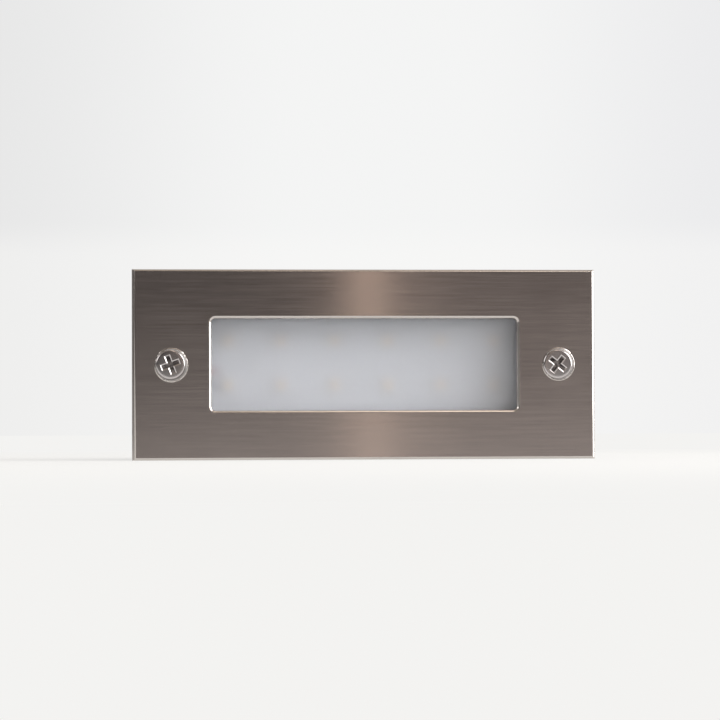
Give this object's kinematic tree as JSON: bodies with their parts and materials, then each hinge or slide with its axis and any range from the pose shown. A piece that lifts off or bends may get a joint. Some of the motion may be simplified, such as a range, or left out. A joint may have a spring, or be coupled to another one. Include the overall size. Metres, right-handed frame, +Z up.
{
  "type": "step light",
  "caption": "Recessed step light: a brushed steel faceplate with a frosted light window and a countersunk screw at each end, on a sealed LED unit in a moulded wall box.",
  "frame": {"origin": "middle of the wall opening, in the plane of the finished wall that the faceplate gasket bears on", "axes": "+X along the faceplate to the right as seen from the front, +Y into the wall, +Z up"},
  "size_m": [0.11, 0.0632, 0.045],
  "materials": {
    "brushed steel plate": "304 stainless steel, brushed along its length",
    "steel fastener": "A2 stainless steel, bright",
    "frosted glass": "toughened glass, satin on its rear face",
    "white silicone": "moulded silicone",
    "black rubber": "EPDM, matt",
    "white plastic": "white polycarbonate",
    "white solder mask": "white solder mask on an aluminium-backed board",
    "LED package": "white reflective package",
    "LED phosphor": "yellow phosphor in silicone",
    "red wire": "silicone insulation",
    "black wire": "silicone insulation",
    "cast aluminium": "die-cast aluminium, light grit finish",
    "insulation film": "polyester film",
    "green circuit board": "glass-fibre board with solder mask",
    "terminal plastic": "polyamide",
    "capacitor plastic": "flame-retardant plastic case",
    "resistor lacquer": "flameproof lacquer",
    "capacitor sleeve": "PVC sleeve on an aluminium can",
    "ferrite": "ferrite drum in a shrink sleeve",
    "moulded chip": "black epoxy",
    "black nylon": "polyamide 66",
    "dark plastic": "moulded ABS",
    "brass": "turned brass",
    "zinc steel": "zinc-plated steel"
  },
  "bodies": {
    "wall_box": {"wall_box": "dark plastic", "threaded_inserts": "brass", "entry_grommet": "black rubber"},
    "lamp_unit": {"bridge_rectifier": "moulded chip", "diffuser_glass": "frosted glass", "driver_board": "green circuit board", "driver_board_screws": "zinc steel", "driver_chip": "moulded chip", "driver_inductor": "ferrite", "faceplate": "brushed steel plate", "faceplate_gasket": "black rubber", "filter_capacitor": "capacitor sleeve", "fuse_resistor": "resistor lacquer", "gland_body": "black nylon", "gland_lock_nut": "black nylon", "gland_washer": "black rubber", "glass_seal": "white silicone", "insulation_sheet": "insulation film", "lamp_housing": "cast aluminium", "led_board": "white solder mask", "led_lead_negative": "black wire", "led_lead_positive": "red wire", "led_packages": "LED package", "led_phosphors": "LED phosphor", "rear_cover": "cast aluminium", "rear_cover_gasket": "black rubber", "rear_cover_screws": "steel fastener", "reflector_frame": "white plastic", "safety_capacitor": "capacitor plastic", "small_parts": "moulded chip", "terminal_block": "terminal plastic", "terminal_screws": "zinc steel"},
    "left_screw_ring": {"screw_o_ring_left": "black rubber"},
    "left_screw": {"face_screw_left": "steel fastener"},
    "right_screw_ring": {"screw_o_ring_right": "black rubber"},
    "right_screw": {"face_screw_right": "steel fastener"},
    "gland_bush": {"gland_bush": "black rubber"},
    "gland_cap": {"gland_cap": "black nylon"}
  },
  "joints": [
    {"name": "lamp_unit_withdraw", "type": "slide", "parent": "wall_box", "child": "lamp_unit", "axis": [0, -1, 0], "range_m": [0, 0.05]},
    {"name": "left_screw_travel", "type": "slide", "parent": "lamp_unit", "child": "left_screw_ring", "axis": [0, -1, 0], "range_m": [0, 0.0091]},
    {"name": "left_screw_turn", "type": "hinge", "parent": "left_screw_ring", "child": "left_screw", "pos_m": [-0.046, -0.003, 0], "axis": [0, -1, 0], "range_deg": [0, 4680]},
    {"name": "right_screw_travel", "type": "slide", "parent": "lamp_unit", "child": "right_screw_ring", "axis": [0, -1, 0], "range_m": [0, 0.0091]},
    {"name": "right_screw_turn", "type": "hinge", "parent": "right_screw_ring", "child": "right_screw", "pos_m": [0.046, -0.003, 0], "axis": [0, -1, 0], "range_deg": [0, 4680]},
    {"name": "gland_cap_travel", "type": "slide", "parent": "lamp_unit", "child": "gland_bush", "axis": [0, 1, 0], "range_m": [0, 0.006]},
    {"name": "gland_cap_turn", "type": "hinge", "parent": "gland_bush", "child": "gland_cap", "pos_m": [0, 0.04, 0], "axis": [0, 1, 0], "range_deg": [0, 1440]}
  ],
  "couplings": [
    {"joint": "left_screw_turn", "follows": "left_screw_travel", "rad_per_m": 8976},
    {"joint": "right_screw_turn", "follows": "right_screw_travel", "rad_per_m": 8976},
    {"joint": "gland_cap_turn", "follows": "gland_cap_travel", "rad_per_m": 4188.8}
  ]
}
